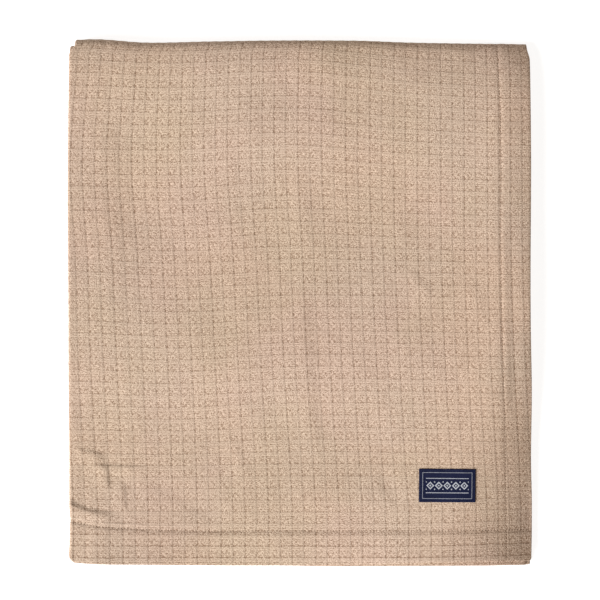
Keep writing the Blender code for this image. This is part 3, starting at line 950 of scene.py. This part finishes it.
def label_material():
    """Navy satin with a woven border and a row of lozenges between two rules."""
    made = Recipe("navy_satin_label", specular=0.12, sheen=0.02, sheen_roughness=0.4)
    plus, times, ramp, size, maths = made.plus, made.times, made.ramp, made.size, made.math
    x, y, _ = made.uv("label")
    edge_x = maths("SUBTRACT", LABEL_SIZE[0] / 2, size(x))
    edge_y = maths("SUBTRACT", LABEL_SIZE[1] / 2, size(y))
    inside = maths("MINIMUM", edge_x, edge_y)
    border = made.band(inside, *LABEL_BORDER)

    # The lozenges stand in a row, each with a hollow middle, and small ones stand between them.
    reach = ramp(edge_x, 0.0080, 0.0082)
    off_middle = size(y)
    lozenge = plus(times(made.from_line(x, LOZENGE_PITCH), LOZENGE_PITCH), off_middle)
    ring = made.band(lozenge, *LOZENGE_RING)
    centre = ramp(lozenge, 0.0013, 0.0011)
    shifted = made.from_line(plus(x, LOZENGE_PITCH / 2), LOZENGE_PITCH)
    from_row = size(maths("SUBTRACT", off_middle, DOTS_OFF_MIDDLE))
    dots = ramp(plus(times(shifted, LOZENGE_PITCH), from_row), 0.0011, 0.0009)
    rules = made.band(off_middle, *LABEL_RULES)
    motif = made.most(times(made.most(ring, centre, dots, rules), reach), times(border, 0.7))

    # Fine weft ribs, broken by the warp, and a few lighter threads.
    weft = maths("SINE", times(y, 2 * math.pi / SATIN_RIB))
    warp = maths("SINE", plus(times(x, 2 * math.pi / SATIN_WARP), times(weft, 0.8)))
    ribs = times(plus(weft, times(warp, 0.5)), 0.66)
    wander = made.swing(made.vector(times(x, 0.2), y), 0.003, 1.0, detail=3.0)
    tone = made.weighted((0.42,), (ribs, 0.16), (wander, 0.16))
    navy = made.mix(tone, DARK_NAVY, LIGHT_NAVY)
    pale = made.mix(plus(tone, 0.1), DARK_PALE, LIGHT_PALE)
    height = made.weighted((ribs, 0.35), (motif, 0.6), (wander, 0.3))
    roughness = ramp(motif, 0, 1, 0.52, 0.68)
    return made.finish(made.mix(motif, navy, pale), roughness, height, SATIN_DEPTH)


def floor_material():
    """Plain white studio floor, a little uneven in finish. It glows faintly, as a lit table does."""
    made = Recipe("studio_floor", specular=0.2)
    place = made.node("TexCoord").outputs["Object"]
    clouds = made.noise(place, 0.7, detail=4.0)
    made.surface.inputs["Emission Color"].default_value = (1.0, 1.0, 1.0, 1.0)
    made.surface.inputs["Emission Strength"].default_value = FLOOR_GLOW
    colour = made.mix(clouds, DARKER_FLOOR, LIGHTER_FLOOR)
    return made.finish(colour, made.ramp(clouds, 0.3, 0.7, 0.7, 0.8), clouds, FLOOR_DEPTH)


# ---- The scene ----


def put(name, data):
    """A new object in the scene."""
    made = bpy.data.objects.new(name, data)
    bpy.context.scene.collection.objects.link(made)
    return made


def add_piece(name, mesh, material):
    """A mesh as a piece that rides on the part's one body."""
    mesh.materials.append(material)
    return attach(put(name, mesh), "root")


def add_floor():
    corners = np.array([(-1, -1, 0), (1, -1, 0), (1, 1, 0), (-1, 1, 0)]) * FLOOR_SIZE / 2
    mesh = new_mesh("floor", corners, [(0, 1, 2, 3)])
    mesh.materials.append(floor_material())
    floor = put("floor", mesh)
    floor.location.z = -FLOOR_BELOW


def add_lights():
    """A white room all round, and one broad soft light from the front left."""
    world = bpy.data.worlds.new("studio")
    world.use_nodes = True
    room = world.node_tree.nodes["Background"].inputs
    room["Color"].default_value = (*ROOM_TINT, 1.0)
    room["Strength"].default_value = ROOM_LIGHT
    bpy.context.scene.world = world
    key = bpy.data.lights.new("key", "SUN")
    key.energy = KEY_LIGHT * math.pi / math.sin(math.radians(KEY_ELEVATION_DEG))
    key.angle = math.radians(KEY_SOFTNESS_DEG)
    key.color = KEY_TINT
    put("key", key).rotation_euler = (math.radians(90 - KEY_ELEVATION_DEG), 0, math.radians(KEY_FROM_DEG))


def add_camera():
    """A long lens that looks straight down on the top surface."""
    camera = bpy.data.cameras.new("camera")
    camera.lens = camera.sensor_width * CAMERA_HEIGHT / VIEW_WIDTH
    camera.clip_end = 20
    stand = put("camera", camera)
    stand.location = (*VIEW_CENTRE, STACK + CAMERA_HEIGHT)
    bpy.context.scene.camera = stand


def build():
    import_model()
    low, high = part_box("bedspread")
    half = Half((high.x - low.x) / 2, (high.y - low.y) / 2)

    cloth_mesh, seams = make_cloth(half)
    cloth = add_piece("folded_cloth", cloth_mesh, cotton_material())
    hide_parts("bedspread")
    sewn = thread_mesh("hem_stitches", seams, STITCH_PITCH, STITCH_LENGTH, STITCH_RADIUS)
    cotton = thread_material("cotton_thread", DARK_YARN, THREAD_LIGHT)
    hem_stitches = add_piece("hem_stitches", sewn, cotton)

    label_mesh, label_seams = make_label(half)
    label = add_piece("label", label_mesh, label_material())
    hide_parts("woven_label")
    sewn = thread_mesh("label_stitches", label_seams, LABEL_PITCH, LABEL_STITCH, LABEL_THREAD)
    navy = thread_material("navy_thread", DARK_NAVY, LIGHT_NAVY)
    label_stitches = add_piece("label_stitches", sewn, navy)

    add_floor()
    add_lights()
    add_camera()
    bpy.context.scene.view_settings.view_transform = "Standard"


build()
